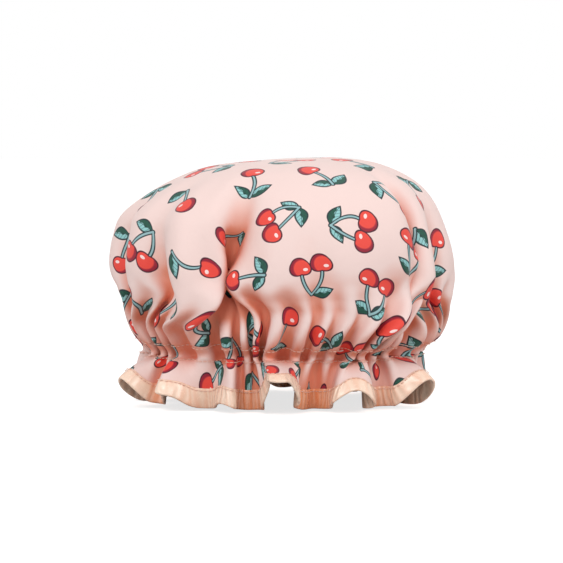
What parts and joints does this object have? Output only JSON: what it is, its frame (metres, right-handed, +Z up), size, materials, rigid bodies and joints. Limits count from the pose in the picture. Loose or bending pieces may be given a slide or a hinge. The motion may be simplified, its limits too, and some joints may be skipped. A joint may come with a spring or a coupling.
{
  "type": "shower cap",
  "caption": "Gathered printed-cloth shower cap with a waterproof lining, an elastic in a stitched casing and a satin-bound ruffle, shaped as worn.",
  "frame": {"origin": "middle of the cap's box, at the height of the hem's lowest scallops, which it stands on", "axes": "+Z up through the crown, +X to the right of the side that shows in the picture, which faces -Y"},
  "size_m": [0.2346, 0.2212, 0.1704],
  "materials": {
    "printed_cloth": "smooth woven polyester with a print",
    "lining_film": "soft film",
    "satin": "satin",
    "elastic": "braided",
    "thread": "satin",
    "label": "woven"
  },
  "bodies": {
    "root": {"outer_shell": "printed_cloth", "waterproof_lining": "lining_film", "elastic_band": "elastic", "elastic_tack_thread": "thread", "hem_binding": "satin", "casing_thread_upper": "thread", "casing_thread_lower": "thread", "binding_thread": "thread", "care_label": "label"}
  },
  "joints": []
}
